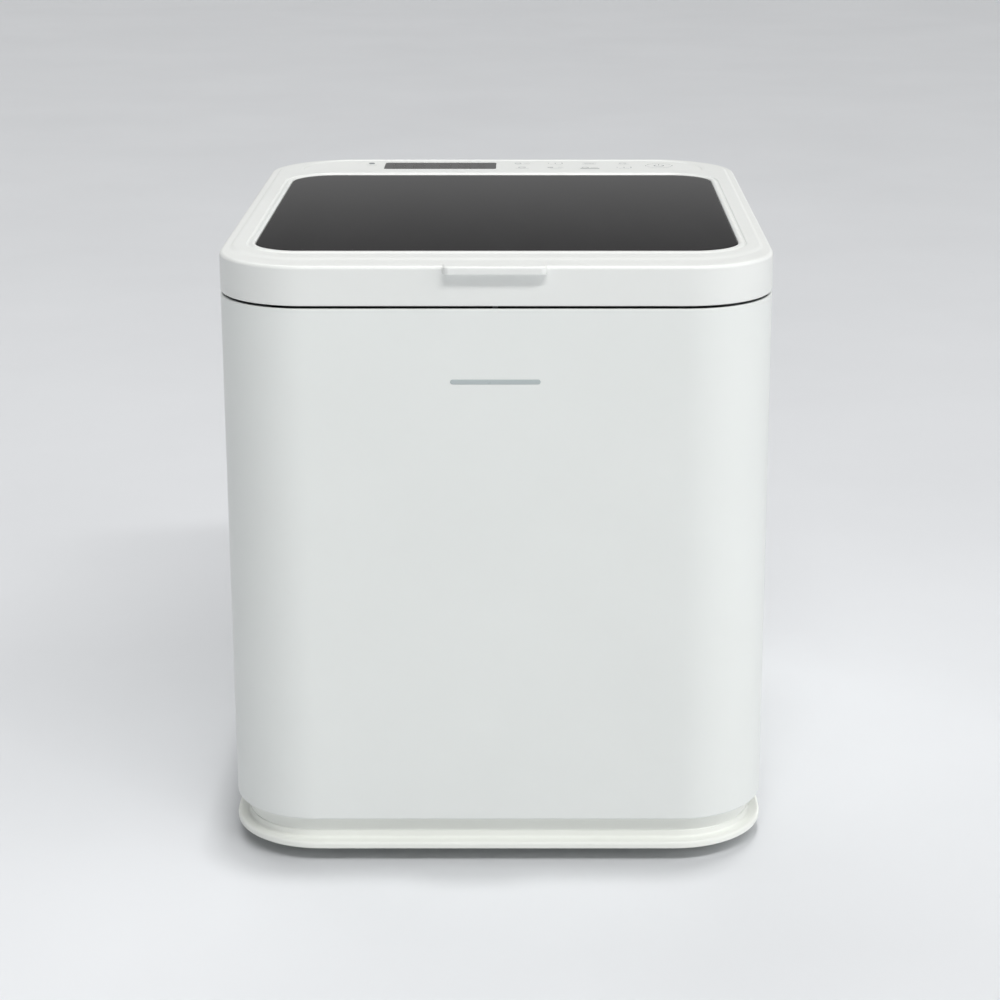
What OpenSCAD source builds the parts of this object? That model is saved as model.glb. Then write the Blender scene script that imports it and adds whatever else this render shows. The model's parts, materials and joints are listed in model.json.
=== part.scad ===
// Top-loading trash compactor: a rounded white cabinet on a flanged base,
// a hinged lid with a dark glass panel, and a lift table that raises the
// waste bucket against a press plate fixed under the lid.
// Millimetres. Origin on the floor under the middle of the cabinet.
// +X is the right side, +Y is the rear, +Z is up.

/* [Cabinet] */
// Width of the cabinet shell
body_w = 400; // [396:1:410]
// Depth of the cabinet shell
body_d = 480; // [476:1:490]
// Radius of the vertical corners
corner_r = 65; // [60:1:68]
// Height of the top edge of the cabinet shell
shell_top = 423.5; // [423:0.5:424]
// Height of the bottom edge of the cabinet shell
shell_bottom = 35; // [34:0.5:35]
// Thickness of the shell wall
shell_t = 2.5; // [2:0.1:2.5]

/* [Base] */
// Amount the base flange stands proud of the shell on each side
flange_proud = 0.8; // [0.4:0.1:1.5]
// Underside height of the base flange
flange_z = 12; // [12:0.5:14]
// Thickness of the base flange
flange_t = 5.4; // [4:0.1:6]
// Distance that the base neck is set back from the shell
neck_inset = 9; // [7:0.5:11]
// Radius of each rubber foot
foot_r = 17; // [14:0.5:20]

/* [Lid] */
// Height of the lower edge of the lid band
lid_z = 425.5; // [425:0.1:425.5]
// Height of the top of the lid
lid_top = 455; // [455:0.5:457]
// Radius of the rounded top edge of the lid
lid_edge_r = 3.5; // [2:0.5:4]
// Width of the glass panel
glass_w = 353; // [340:1:356]
// Depth of the glass panel
glass_d = 339; // [330:1:342]
// Corner radius of the glass panel
glass_r = 34; // [28:1:38]
// Distance from the front of the lid to the glass
glass_front = 55; // [52:1:57]
// Thickness of the glass
glass_t = 4; // [3:0.5:4]
// Width of the finger lip at the front of the lid
lip_w = 73; // [50:1:90]
// Distance that the finger lip stands out from the lid
lip_out = 8; // [6:0.5:8]

/* [Controls] */
// Width of the control overlay
overlay_w = 344; // [330:1:348]
// Depth of the control overlay
overlay_d = 56; // [54:1:58]
// Width of the display window
display_w = 98; // [80:1:104]
// Depth of the display window
display_d = 36; // [28:1:40]
// Width of one touch key
key_w = 20; // [14:1:22]
// Depth of one touch key
key_d = 12; // [8:1:14]

/* [Chamber] */
// Inside width of the chamber
chamber_w = 327; // [326:0.5:328]
// Inside depth of the chamber
chamber_d = 327; // [326:0.5:328]
// Middle of the chamber measured towards the rear
chamber_y = -50; // [-51:0.5:-49]
// Outside width of the waste bucket
bucket_w = 300; // [294:1:302]
// Outside depth of the waste bucket
bucket_d = 290; // [286:1:292]
// Height of the waste bucket
bucket_h = 238; // [200:1:240]
// Thickness of the bucket wall
bucket_t = 3; // [2:0.5:3]
// Width of the press plate
press_w = 276; // [250:1:278]
// Depth of the press plate
press_d = 266; // [240:1:268]
// Underside height of the press plate
press_z = 322; // [321.5:0.5:323]

/* [Drive] */
// Radius of each lift screw
screw_r = 6; // [5:0.5:6]
// Sideways distance of each lift screw from the middle
screw_x = 176; // [175.5:0.1:176.3]
// Running radius of the screw pulleys
screw_pulley_r = 15.7; // [14:0.1:16]
// Running radius of the motor pulley
motor_pulley_r = 9.8; // [8:0.1:10.5]
// Distance of the motor behind the middle
motor_y = 165; // [162:1:168]

/* [Hidden] */
$fn = 72;
e = 0.05;
run = 0.05;                                  // radial clearance of running fits
hinge_y = body_d/2 + 4.6;                    // lid hinge axis
hinge_z = 424.5;
hinge_r = 3.4;
glass_cy = -body_d/2 + glass_front + glass_d/2;
glass_bottom = lid_top - 0.8 - glass_t;
overlay_cy = 204;
post_x = 100;
post_ys = [chamber_y - 95, chamber_y + 95];
chassis_top = 40;
deck_z = 416;
deck_t = 3;
liner_t = 1.5;
table_z = 66;
key_cols = [17, 46, 76, 106];
key_rows = [215, 193];

// ---------- shapes ----------
module rr(w, d, r) {
  square([w - 2*r, d], center = true);
  square([w, d - 2*r], center = true);
  for (sx = [-1, 1], sy = [-1, 1]) translate([sx*(w/2 - r), sy*(d/2 - r)]) circle(r = r);
}
module slab(w, d, r, z0, z1) { translate([0, 0, z0]) linear_extrude(z1 - z0) rr(w, d, r); }
module ring(w, d, r, t, z0, z1) {
  translate([0, 0, z0]) linear_extrude(z1 - z0) difference() { rr(w, d, r); rr(w - 2*t, d - 2*t, r - t); }
}
// rounded block whose top edge is rounded by f
module soft_slab(w, d, r, z0, z1, f) {
  slab(w, d, r, z0, z1 - f);
  slab(w - 2*f, d - 2*f, r - f, z0, z1);
  for (sx = [-1, 1]) translate([sx*(w/2 - f), -(d/2 - r), z1 - f]) rotate([-90, 0, 0]) cylinder(r = f, h = d - 2*r);
  for (sy = [-1, 1]) translate([-(w/2 - r), sy*(d/2 - f), z1 - f]) rotate([0, 90, 0]) cylinder(r = f, h = w - 2*r);
  for (sx = [-1, 1], sy = [-1, 1]) translate([sx*(w/2 - r), sy*(d/2 - r), z1 - f])
    rotate_extrude() translate([r - f, 0]) circle(r = f);
}
module box(x0, x1, y0, y1, z0, z1) { translate([x0, y0, z0]) cube([x1 - x0, y1 - y0, z1 - z0]); }
module ycyl(x, z, y0, y1, r) { translate([x, y0, z]) rotate([-90, 0, 0]) cylinder(r = r, h = y1 - y0); }
module xcyl(y, z, x0, x1, r) { translate([x0, y, z]) rotate([0, 90, 0]) cylinder(r = r, h = x1 - x0); }
module both() { children(); mirror([1, 0, 0]) children(); }

// ---------- base ----------
module base_tray() color("gainsboro") difference() {
  union() {
    soft_slab(body_w + 2*flange_proud, body_d + 2*flange_proud, corner_r + 4, flange_z, flange_z + flange_t, 2.4);
    ring(body_w - 2*neck_inset, body_d - 2*neck_inset, corner_r - neck_inset, 3, flange_z + flange_t - e, shell_bottom);
    for (x = [-150, 150], y = [-190, 190]) translate([x, y, flange_z]) cylinder(r = 12, h = 12);
  }
  for (x = [-150, 150], y = [-190, 190]) translate([x, y, flange_z - 1]) cylinder(r = 4, h = 9);
  for (i = [-3:3]) box(-60, 60, i*24 - 4, i*24 + 4, flange_z - 1, flange_z + flange_t + 1);
}
module rubber_feet() color("dimgray") for (x = [-150, 150], y = [-190, 190]) translate([x, y, 0]) {
  cylinder(r = foot_r - 1.5, h = 3);
  translate([0, 0, 1.5]) cylinder(r = foot_r, h = flange_z - 1.5);
  cylinder(r = 4, h = flange_z + 7);
}

// ---------- cabinet ----------
module cabinet_shell() color("whitesmoke") difference() {
  union() {
    ring(body_w, body_d, corner_r, shell_t, shell_bottom, shell_top);
    ring(body_w - 2*shell_t + 1, body_d - 2*shell_t + 1, corner_r - shell_t + 0.5, 13, shell_bottom, shell_bottom + 2);
  }
  box(-118, 118, body_d/2 - 8, body_d/2 + 2, 55, 385);
  for (x = [-124, 124], z = [65, 168, 272, 375]) ycyl(x, z, body_d/2 - 8, body_d/2 + 2, 2);
}
module chassis_plate() color("silver") difference() {
  slab(body_w - 2*shell_t - 1, body_d - 2*shell_t - 1, corner_r - shell_t - 0.5, shell_bottom + 2, chassis_top);
  for (y = [-195, 95]) box(-90, 90, y - 6, y + 6, 30, 50);
  for (x = [-120, 120]) translate([x, 150, 30]) cylinder(r = 8, h = 20);
}
module rear_panel() color("lightgray") difference() {
  box(-130, 130, body_d/2 - 4.5, body_d/2 - 2.5, 47, 393);
  for (x = [-124, 124], z = [65, 168, 272, 375]) ycyl(x, z, 230, 242, 2);
  for (i = [0:8]) box(-75 - 27, -75 + 27, 230, 242, 320 + i*6, 323 + i*6);
  for (i = [0:9]) box(-38, 38, 230, 242, 96 + i*7, 99 + i*7);
  box(29.5, 110.5, 230, 242, 324.5, 365.5);
  ycyl(92, 80, 230, 242, 8);
}
module rear_panel_screws() color("silver") for (x = [-124, 124], z = [65, 168, 272, 375]) difference() {
  union() {
    ycyl(x, z, 230, 240, 1.9);
    ycyl(x, z, 240, 242.2, 4);
  }
  box(x - 2.6, x + 2.6, 241.2, 243, z - 0.5, z + 0.5);
  box(x - 0.5, x + 0.5, 241.2, 243, z - 2.6, z + 2.6);
}
module cord_gland() color("black") difference() {
  union() {
    ycyl(92, 80, 222, 242, 7.9);
    ycyl(92, 80, 237.5, 242, 12);
    ycyl(92, 80, 229, 235.5, 12);
  }
  ycyl(92, 80, 221, 243, 4.2);
}

// ---------- chamber ----------
module chamber_liner() color("slategray") translate([0, chamber_y, 0]) difference() {
  union() {
    ring(chamber_w + 2*liner_t, chamber_d + 2*liner_t, 22, liner_t, 60, deck_z);
    slab(chamber_w, chamber_d, 21, 60, 60 + liner_t);
  }
  for (s = [-1, 1]) box(s*165 - 6, s*165 + 6, -56, 26, 60 + liner_t, 187);
}
module liner_standoffs() color("silver") for (x = [-120, 120], y = [-195, 95])
  translate([x, y, chassis_top]) cylinder(r = 7, h = 60 - chassis_top);
module top_deck() color("lightslategray") difference() {
  slab(body_w - 2*shell_t - 1, body_d - 2*shell_t - 1, corner_r - shell_t - 0.5, deck_z, deck_z + deck_t);
  translate([0, chamber_y, 0]) slab(chamber_w, chamber_d, 20.5, deck_z - 1, deck_z + deck_t + 1);
  box(-4, 4, -234.5, -220.5, deck_z - 1, deck_z + deck_t + 1);
  for (p = [[-181, -150], [181, -150], [-181, 60], [181, 60], [-110, 200], [110, 200]])
    translate([p[0], p[1], deck_z - 1]) cylinder(r = 2.1, h = deck_t + 2);
}
module deck_screws() color("silver")
  for (p = [[-181, -150], [181, -150], [-181, 60], [181, 60], [-110, 200], [110, 200]])
    translate([p[0], p[1], 0]) difference() {
      union() {
        translate([0, 0, deck_z - 8]) cylinder(r = 2, h = deck_t + 8);
        translate([0, 0, deck_z + deck_t]) cylinder(r = 4, h = 2.4);
      }
      translate([0, 0, deck_z + deck_t + 2.4]) cube([5.2, 1, 2.2], center = true);
      translate([0, 0, deck_z + deck_t + 2.4]) cube([1, 5.2, 2.2], center = true);
    }
module side_posts() color("silver") both() difference() {
  box(189.5, 195.5, -112, -18, chassis_top, deck_z);
  box(186, 193.5, -108, -22, chassis_top + 24, deck_z - 3);
  box(186, 198, -74, -26, chassis_top - 1, 62);
}
module lower_bearings() color("dimgray") both() translate([screw_x, chamber_y, chassis_top]) difference() {
  cylinder(r = 12, h = 3.6);
  translate([0, 0, 1]) cylinder(r = screw_r + run, h = 4);
}
module upper_bearings() color("dimgray") both() difference() {
  box(168, 193.5, -98, -36, 194, 204);
  translate([screw_x, chamber_y, 190]) cylinder(r = screw_r + run, h = 20);
  translate([screw_x, chamber_y - 33, 190]) cylinder(r = 4, h = 20);
}
module guide_rods() color("silver") both() translate([screw_x, chamber_y - 33, chassis_top]) cylinder(r = 4, h = 204 - chassis_top);

// ---------- drive ----------
module drive_motor() color("darkslategray") difference() {
  union() {
    translate([0, motor_y, 64]) cylinder(r = 32, h = 84);
    translate([0, motor_y, 148]) cylinder(r = 25, h = 8);
    box(-12, 12, motor_y + 28, motor_y + 38, 80, 130);
  }
  translate([0, motor_y, 60]) cylinder(r = 4 + run, h = 40);
  for (a = [0:45:315]) rotate_about(a) box(10, 22, motor_y - 2, motor_y + 2, 153, 158);
}
module rotate_about(a) { translate([0, motor_y, 0]) rotate([0, 0, a]) translate([0, -motor_y, 0]) children(); }
module motor_bracket() color("silver") difference() {
  union() {
    box(-42, 42, 124, 208, 60, 64);
    for (s = [-1, 1]) box(s*36 - 6, s*36 + 6, 192, 208, chassis_top, 60);
    box(-8, 8, 124, 132, chassis_top, 60);
  }
  translate([0, motor_y, 50]) cylinder(r = 9, h = 20);
}
module belt_path(r1, r2) { hull() {
  for (s = [-1, 1]) translate([s*screw_x, chamber_y]) circle(r = r1, $fn = 64);
  translate([0, motor_y]) circle(r = r2, $fn = 64);
} }
module timing_belt() color("black") translate([0, 0, 46]) linear_extrude(10) difference() {
  belt_path(screw_pulley_r + 2.3, motor_pulley_r + 2.3);
  belt_path(screw_pulley_r + 0.4, motor_pulley_r + 0.4);
}
module power_supply() color("darkgray") difference() {
  box(-150, -72, 136, 214, chassis_top, 104);
  for (i = [0:7]) box(-140 + i*9, -136 + i*9, 144, 206, 101, 106);
  box(-152, -148, 150, 200, 60, 90);
}
module fan_housing() color("black") difference() {
  union() {
    difference() {
      box(-110, -40, 213.5, 235.5, 309, 379);
      ycyl(-75, 344, 212, 237, 32);
    }
    ycyl(-75, 344, 213.5, 217.5, 11);
    for (a = [45, 135, 225, 315]) translate([-75, 0, 344]) rotate([0, a, 0]) box(9, 34, 213.5, 216.5, -2, 2);
  }
  ycyl(-75, 344, 212, 219, 2 + run);
}
module filter_duct() color("gray") difference() {
  box(27.5, 112.5, 148, 235.5, 322.5, 367.5);
  box(29.5, 110.5, 150, 240, 324.5, 365.5);
  for (i = [0:5]) box(36 + i*12, 42 + i*12, 146, 152, 330, 360);
}
module latch_housing() color("dimgray") difference() {
  union() {
    box(12, 84, -234, -220, 397, deck_z);
  }
  box(11, 78, -229.8, -224.2, 400.6, 407.4);
}

// ---------- hinge ----------
module leaf(s, x0, x1, z0, z1) { box(x0, x1, body_d/2, body_d/2 + 1.5, z0, z1); }
module cabinet_hinge_leaves() color("silver") both() difference() {
  union() {
    leaf(1, 60, 110, 398, 418);
    for (x = [60, 95]) {
      box(x, x + 15, body_d/2, body_d/2 + 2.4, 410, hinge_z);
      xcyl(hinge_y, hinge_z, x, x + 15, hinge_r);
    }
  }
  xcyl(hinge_y, hinge_z, 58, 112, 1.5);
  for (x = [70, 100]) ycyl(x, 404, 238, 244, 1.6);
}
module lid_hinge_leaves() color("silver") both() difference() {
  union() {
    leaf(1, 60, 110, 431, 450);
    box(75.3, 94.7, body_d/2, body_d/2 + 2.4, hinge_z, 440);
    xcyl(hinge_y, hinge_z, 75.3, 94.7, hinge_r);
  }
  xcyl(hinge_y, hinge_z, 74, 96, 1.5 + run);
  for (x = [68, 102]) ycyl(x, 443, 238, 244, 1.5);
}
module hinge_pins() color("silver") both() xcyl(hinge_y, hinge_z, 59, 111, 1.5);
module hinge_screws() color("silver") both() for (x = [70, 100]) {
  ycyl(x, 404, body_d/2, body_d/2 + 1.5, 1.5);
  ycyl(x, 404, body_d/2 + 1.5, body_d/2 + 3.2, 3.2);
}
module lid_hinge_screws() color("silver") both() for (x = [68, 102]) {
  ycyl(x, 443, body_d/2 - 2, body_d/2 + 1.5, 1.5);
  ycyl(x, 443, body_d/2 + 1.5, body_d/2 + 3.2, 3.2);
}
module lid_bumpers() color("dimgray") for (x = [-1, 1], y = [-180, 190])
  translate([x*(y < 0 ? 181 : 160), y, deck_z + deck_t]) cylinder(r = 5, h = 7);
module lid_switch() color("black") difference() {
  box(-166, -134, 142, 158, deck_z - 12, deck_z);
  for (x = [-160, -140]) translate([x, 150, deck_z - 13]) cylinder(r = 1.6, h = 6);
}

// ---------- lid ----------
module lid_frame() color("white") difference() {
  union() {
    difference() {
      soft_slab(body_w, body_d, corner_r, lid_z, lid_top, lid_edge_r);
      slab(body_w - 5, body_d - 5, corner_r - 2.5, lid_z - 1, lid_top - 3.5);
    }
    translate([0, glass_cy, 0]) slab(glass_w + 10, glass_d + 10, glass_r + 5, glass_bottom - 2.5, lid_top - 3);
  }
  translate([0, glass_cy, 0]) {
    slab(glass_w, glass_d, glass_r, glass_bottom, lid_top + 2);
    slab(glass_w - 14, glass_d - 14, glass_r - 7, glass_bottom - 6, lid_top + 2);
  }
  translate([0, overlay_cy, 0]) slab(overlay_w, overlay_d, 22, lid_top - 1, lid_top + 1);
  box(-100, 130, 184, 224, lid_top - 5, lid_top);
  for (x = [-102, -68, 68, 102]) ycyl(x, 443, body_d/2 - 2, body_d/2 + 1, 1.5);
}
// grip moulded on the front of the lid, shaped to the lid's rounded top edge
module finger_lip() color("white") difference() {
  union() {
    box(-lip_w/2 + 3, lip_w/2 - 3, -body_d/2 - lip_out, -body_d/2 + lid_edge_r, lid_top - 5.6, lid_top + 0.4);
    box(-lip_w/2, lip_w/2, -body_d/2 - lip_out + 3, -body_d/2 + lid_edge_r, lid_top - 5.6, lid_top + 0.4);
    for (s = [-1, 1]) translate([s*(lip_w/2 - 3), -body_d/2 - lip_out + 3, lid_top - 5.6]) cylinder(r = 3, h = 6);
  }
  box(-lip_w, lip_w, -body_d/2, -body_d/2 + 10, lid_top - 8, lid_top - lid_edge_r);
  box(-lip_w, lip_w, -body_d/2 + lid_edge_r, -body_d/2 + 10, lid_top - 8, lid_top + 2);
  xcyl(-body_d/2 + lid_edge_r, lid_top - lid_edge_r, -lip_w, lip_w, lid_edge_r);
}
module lid_glass() color("#3a3a3c") translate([0, glass_cy, 0])
  slab(glass_w - 0.8, glass_d - 0.8, glass_r - 0.4, glass_bottom, glass_bottom + glass_t);
module control_overlay() color("white") difference() {
  translate([0, overlay_cy, 0]) slab(overlay_w - 0.4, overlay_d - 0.4, 21.8, lid_top - 1, lid_top);
  translate([-55, overlay_cy, 0]) slab(display_w + 0.2, display_d + 0.2, 3.1, lid_top - 2, lid_top + 1);
  for (x = key_cols, y = key_rows) translate([x, y, 0]) slab(key_w + 0.1, key_d + 0.1, 2.05, lid_top - 0.5, lid_top + 1);
  translate([137, overlay_cy, lid_top - 0.5]) cylinder(r = 13.05, h = 2);
  translate([-116, 215, lid_top - 2]) cylinder(r = 2.55, h = 4);
}
module display_window() color("dimgray") translate([-55, overlay_cy, 0]) slab(display_w, display_d, 3, lid_top - 1, lid_top - 0.1);
module touch_keys() color("lightgray") {
  for (x = key_cols, y = key_rows) translate([x, y, 0]) slab(key_w, key_d, 2, lid_top - 0.5, lid_top);
  // round start key with a ring sunk into it
  translate([137, overlay_cy, lid_top - 0.5]) difference() {
    cylinder(r = 13, h = 0.5);
    translate([0, 0, 0.3]) difference() { cylinder(r = 11, h = 1); translate([0, 0, -1]) cylinder(r = 9.8, h = 3); }
  }
}
module status_light() color("gray") translate([-116, 215, lid_top - 1]) cylinder(r = 2.5, h = 0.95);
module control_board() color("darkgreen") {
  box(-108, 138, 180, 228, lid_top - 8, lid_top - 6.4);
  box(-95, -15, 190, 218, lid_top - 6.4, lid_top - 2.4);
  box(20, 36, 196, 212, lid_top - 10, lid_top - 8);
  box(-60, -30, 190, 200, lid_top - 13, lid_top - 8);
  for (x = [-104.5, 134.5], y = [184, 224]) translate([x, y, lid_top - 6.4]) cylinder(r = 2.6, h = 2.9);
  for (x = [60, 74, 88]) translate([x, 204, lid_top - 14]) cylinder(r = 4, h = 6);
}
module lid_liner() color("gainsboro") difference() {
  union() {
    slab(body_w - 5.6, body_d - 5.6, corner_r - 2.8, lid_z + 1, lid_z + 3);
    translate([0, chamber_y, 0]) ring(chamber_w + 40, chamber_d + 30, 34, 2, lid_z + 3, lid_z + 8);
  }
  for (x = [-post_x, post_x], y = post_ys) translate([x, y, lid_z]) cylinder(r = 8.2, h = 12);
}
module lid_gasket() color("dimgray") translate([0, chamber_y, 0]) ring(chamber_w + 12, chamber_d + 12, 26.5, 4, deck_z + deck_t + 0.4, lid_z + 1);
module lid_crossbars() color("silver") for (y = post_ys) difference() {
  box(-190, 190, y - 13, y + 13, lid_z + 8, lid_z + 20);
  box(-192, 192, y - 11, y + 11, lid_z + 7, lid_z + 18);
}
module press_posts() color("silver") for (x = [-post_x, post_x], y = post_ys) translate([x, y, press_z + 4]) difference() {
  cylinder(r = 8, h = lid_z + 18 - press_z - 4);
  translate([0, 0, -1]) cylinder(r = 2.5, h = 18);
}
module press_plate() color("silver") translate([0, chamber_y, 0]) difference() {
  union() {
    slab(press_w, press_d, 24, press_z, press_z + 4);
    ring(press_w, press_d, 24, 3, press_z + 3, press_z + 11);
    for (x = [-60, 60]) box(x - 1.5, x + 1.5, -press_d/2 + 2, press_d/2 - 2, press_z + 3, press_z + 10);
    box(-press_w/2 + 2, press_w/2 - 2, -1.5, 1.5, press_z + 3, press_z + 10);
  }
  for (x = [-post_x, post_x], y = [-95, 95]) translate([x, y, press_z - 1]) cylinder(r = 2.6, h = 8);
}
module press_plate_screws() color("silver") for (x = [-post_x, post_x], y = post_ys) translate([x, y, press_z - 1.6]) difference() {
  union() { cylinder(r = 6, h = 1.6); cylinder(r = 2.4, h = 18); }
  for (a = [0, 60, 120]) rotate([0, 0, a]) translate([0, 0, 0]) cube([4, 1.2, 1.6], center = true);
}
module lid_striker() color("silver") difference() {
  box(-2, 2, -232, -222, 396, lid_z + 1);
  box(-4, 4, -230, -224, 400, 408);
}
module lid_magnet() color("dimgray") translate([-150, 150, lid_z - 3]) difference() {
  cylinder(r = 6, h = 4);
  translate([0, 0, -1]) cylinder(r = 1.5, h = 2);
}

// ---------- lift ----------
module lift_table() color("silver") difference() {
  union() {
    box(-140, 140, -180, 80, table_z, table_z + 5);
    both() box(138, 188, -100, -32, table_z, table_z + 9);
    for (y = [-150, -50, 50]) box(-138, 138, y - 4, y + 4, table_z - 3.5, table_z + 1);
  }
  both() translate([screw_x, chamber_y, table_z - 2]) cylinder(r = 10, h = 20);
  both() translate([screw_x, chamber_y - 33, table_z - 2]) cylinder(r = 4.08, h = 20);
  for (x = [-90, -30, 30, 90], y = [-110, 10]) translate([x, y, table_z - 5]) cylinder(r = 16, h = 20);
}
module lift_nuts() color("goldenrod") both() translate([screw_x, chamber_y, table_z]) difference() {
  union() { cylinder(r = 10, h = 13); translate([0, 0, 9]) cylinder(r = 11.5, h = 4); }
  translate([0, 0, -2]) cylinder(r = screw_r + run, h = 24);
}
module waste_bucket() color("darkgray") translate([0, chamber_y, table_z + 9.5]) difference() {
  union() {
    slab(bucket_w, bucket_d, 30, 0, bucket_h);
    slab(bucket_w + 8, bucket_d + 8, 34, bucket_h - 12, bucket_h - 9);
  }
  slab(bucket_w - 2*bucket_t, bucket_d - 2*bucket_t, 30 - bucket_t, bucket_t, bucket_h + 2);
}
module bag_ring() color("dimgray") translate([0, chamber_y, table_z + 9.5]) difference() {
  slab(bucket_w + 6, bucket_d + 6, 33, bucket_h - 8.5, bucket_h + 3);
  slab(bucket_w + 0.6, bucket_d + 0.6, 30.3, bucket_h - 10, bucket_h + 0.3);
  slab(bucket_w - 9, bucket_d - 9, 25.5, bucket_h - 2, bucket_h + 5);
}
module bucket_grips() color("dimgray") for (s = [-1, 1]) translate([0, chamber_y + s*(bucket_d/2), table_z + 9.5 + bucket_h - 60])
  difference() {
    translate([-45, s > 0 ? 0 : -9, 0]) cube([90, 9, 26]);
    translate([-39, s > 0 ? 0 - 1 : -6.5 , 5]) cube([78, 7.5, 30]);
  }
module lift_screw(s) color("silver") translate([s*screw_x, chamber_y, chassis_top + 1.3]) cylinder(r = screw_r, h = 204 - chassis_top - 1.3 + 4);
module screw_pulley(s) color("gray") translate([s*screw_x, chamber_y, 0]) difference() {
  union() {
    translate([0, 0, 44.4]) cylinder(r = 18.6, h = 1.2);
    translate([0, 0, 44.4]) cylinder(r = screw_pulley_r, h = 13.2);
    translate([0, 0, 56.4]) cylinder(r = 18.6, h = 1.2);
  }
  translate([0, 0, 40]) cylinder(r = screw_r, h = 30);
}
module lift_screw_left() lift_screw(-1);
module lift_screw_right() lift_screw(1);
module screw_pulley_left() screw_pulley(-1);
module screw_pulley_right() screw_pulley(1);
module motor_shaft() color("silver") translate([0, motor_y, 42]) cylinder(r = 4, h = 56);
module motor_pulley() color("gray") translate([0, motor_y, 0]) difference() {
  union() {
    translate([0, 0, 44.4]) cylinder(r = 12.8, h = 1.2);
    translate([0, 0, 44.4]) cylinder(r = motor_pulley_r, h = 13.2);
    translate([0, 0, 56.4]) cylinder(r = 12.8, h = 1.2);
  }
  translate([0, 0, 40]) cylinder(r = 4, h = 30);
}

// ---------- latch, fan, filter ----------
module latch_bolt() color("silver") box(8, 60, -229.4, -224.6, 401, 407);
module fan_rotor() color("black") translate([-75, 0, 344]) {
  ycyl(0, 0, 218.2, 233, 11);
  ycyl(0, 0, 213.8, 219, 2);
  for (a = [0:360/7:359]) rotate([0, a, 0]) translate([9, 219.5, 0]) rotate([32, 0, 0]) cube([20.5, 14, 1.4]);
}
module filter_cartridge() color("#303030") difference() {
  box(30, 110, 152, 237.5, 325, 365);
  for (i = [0:6]) box(35 + i*10.6, 41 + i*10.6, 150, 226, 330, 360);
}
module filter_cover() color("lightgray") difference() {
  union() {
    box(24, 116, 237.5, 241, 319, 371);
    box(50, 90, 240, 247, 341, 349);
  }
  for (i = [0:3]) box(34, 106, 236, 243, 324 + i*4, 326 + i*4);
  for (i = [0:3]) box(34, 106, 236, 243, 353 + i*4, 355 + i*4);
}

base_tray();
rubber_feet();
cabinet_shell();
chassis_plate();
rear_panel();
rear_panel_screws();
cord_gland();
chamber_liner();
liner_standoffs();
top_deck();
deck_screws();
side_posts();
lower_bearings();
upper_bearings();
guide_rods();
drive_motor();
motor_bracket();
timing_belt();
power_supply();
fan_housing();
filter_duct();
latch_housing();
cabinet_hinge_leaves();
hinge_pins();
hinge_screws();
lid_hinge_screws();
lid_bumpers();
lid_switch();
lid_frame();
lid_glass();
control_overlay();
display_window();
touch_keys();
finger_lip();
status_light();
control_board();
lid_liner();
lid_gasket();
lid_crossbars();
press_posts();
press_plate();
press_plate_screws();
lid_striker();
lid_hinge_leaves();
lid_magnet();
lift_table();
lift_nuts();
waste_bucket();
bag_ring();
bucket_grips();
lift_screw_left();
screw_pulley_left();
lift_screw_right();
screw_pulley_right();
motor_shaft();
motor_pulley();
latch_bolt();
fan_rotor();
filter_cartridge();
filter_cover();
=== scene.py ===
import bpy, bmesh, math, json
from mathutils import Vector, Matrix

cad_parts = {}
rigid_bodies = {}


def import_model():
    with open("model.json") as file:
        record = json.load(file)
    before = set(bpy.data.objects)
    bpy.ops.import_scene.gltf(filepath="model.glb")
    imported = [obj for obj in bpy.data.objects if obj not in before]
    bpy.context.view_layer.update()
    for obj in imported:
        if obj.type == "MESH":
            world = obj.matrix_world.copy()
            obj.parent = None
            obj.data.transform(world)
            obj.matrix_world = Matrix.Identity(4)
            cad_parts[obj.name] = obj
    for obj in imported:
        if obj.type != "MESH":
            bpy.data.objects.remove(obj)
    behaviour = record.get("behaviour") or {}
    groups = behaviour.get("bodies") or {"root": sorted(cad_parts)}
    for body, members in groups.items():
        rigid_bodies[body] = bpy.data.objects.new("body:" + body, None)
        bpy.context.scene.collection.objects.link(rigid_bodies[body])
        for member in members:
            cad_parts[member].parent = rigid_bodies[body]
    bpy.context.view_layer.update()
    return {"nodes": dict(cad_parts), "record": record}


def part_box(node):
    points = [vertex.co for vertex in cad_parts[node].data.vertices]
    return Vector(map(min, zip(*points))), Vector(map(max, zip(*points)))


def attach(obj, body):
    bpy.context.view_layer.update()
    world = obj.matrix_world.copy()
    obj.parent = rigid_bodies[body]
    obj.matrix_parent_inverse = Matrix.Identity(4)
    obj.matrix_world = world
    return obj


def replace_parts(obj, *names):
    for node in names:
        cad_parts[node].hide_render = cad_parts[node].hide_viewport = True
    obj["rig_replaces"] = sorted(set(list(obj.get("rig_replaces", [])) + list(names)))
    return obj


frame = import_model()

MM = 0.001
NODES = frame["nodes"]
BODY_OF = {n: b for b, ns in frame["record"]["behaviour"]["bodies"].items() for n in ns}


# ------------------------------------------------------------------ helpers
def srgb(r, g=None, b=None):
    v = [r, g if g is not None else r, b if b is not None else r]
    out = []
    for c in v:
        c = c / 255.0
        out.append(c / 12.92 if c <= 0.04045 else ((c + 0.055) / 1.055) ** 2.4)
    return (*out, 1.0)


def link(ob):
    bpy.context.scene.collection.objects.link(ob)
    return ob


def finish_mesh(bm, name, angle=28.0, merge=1e-6):
    bmesh.ops.remove_doubles(bm, verts=bm.verts, dist=merge)
    bmesh.ops.recalc_face_normals(bm, faces=bm.faces)
    lim = math.radians(angle)
    for f in bm.faces:
        f.smooth = True
    for e in bm.edges:
        e.smooth = not (len(e.link_faces) == 2 and e.calc_face_angle(0.0) > lim)
    me = bpy.data.meshes.new(name)
    bm.to_mesh(me)
    bm.free()
    return me


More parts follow.
